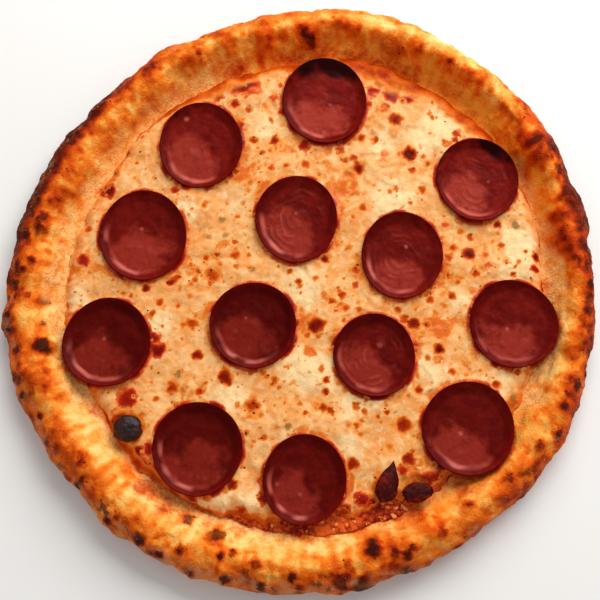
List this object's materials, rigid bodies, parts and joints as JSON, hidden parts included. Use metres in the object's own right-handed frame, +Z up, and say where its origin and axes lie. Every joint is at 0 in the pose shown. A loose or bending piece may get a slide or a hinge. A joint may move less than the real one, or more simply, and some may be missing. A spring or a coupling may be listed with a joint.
{
  "type": "pepperoni pizza",
  "caption": "Whole round pizza with a raised, blistered crust, tomato sauce, melted cheese and cupped pepperoni slices, to lie on a plate, board or box.",
  "frame": {"origin": "on the surface that the pizza rests on, under the middle of its outline", "axes": "+Z up out of the toppings, +Y along the slightly longer way across, +X to the right as seen from the lower edge"},
  "size_m": [0.2958, 0.3025, 0.022],
  "materials": {
    "crust": "baked dough, golden to brown with charred spots and flour dust",
    "sauce": "moist tomato sauce",
    "cheese": "melted cheese with oily sheen and browned spots",
    "pepperoni": "oily cured sausage, darker at the lip",
    "char": "charred, slightly glossy"
  },
  "bodies": {
    "root": {"crust": "crust", "tomato_sauce": "sauce", "cheese": "cheese", "pepperoni_01": "pepperoni", "pepperoni_02": "pepperoni", "pepperoni_03": "pepperoni", "pepperoni_04": "pepperoni", "pepperoni_05": "pepperoni", "pepperoni_06": "pepperoni", "pepperoni_07": "pepperoni", "pepperoni_08": "pepperoni", "pepperoni_09": "pepperoni", "pepperoni_10": "pepperoni", "pepperoni_11": "pepperoni", "pepperoni_12": "pepperoni", "pepperoni_13": "pepperoni", "charred_bubble": "char", "crisp_leaf_scrap": "char", "crisp_round_scrap": "char"}
  },
  "joints": []
}
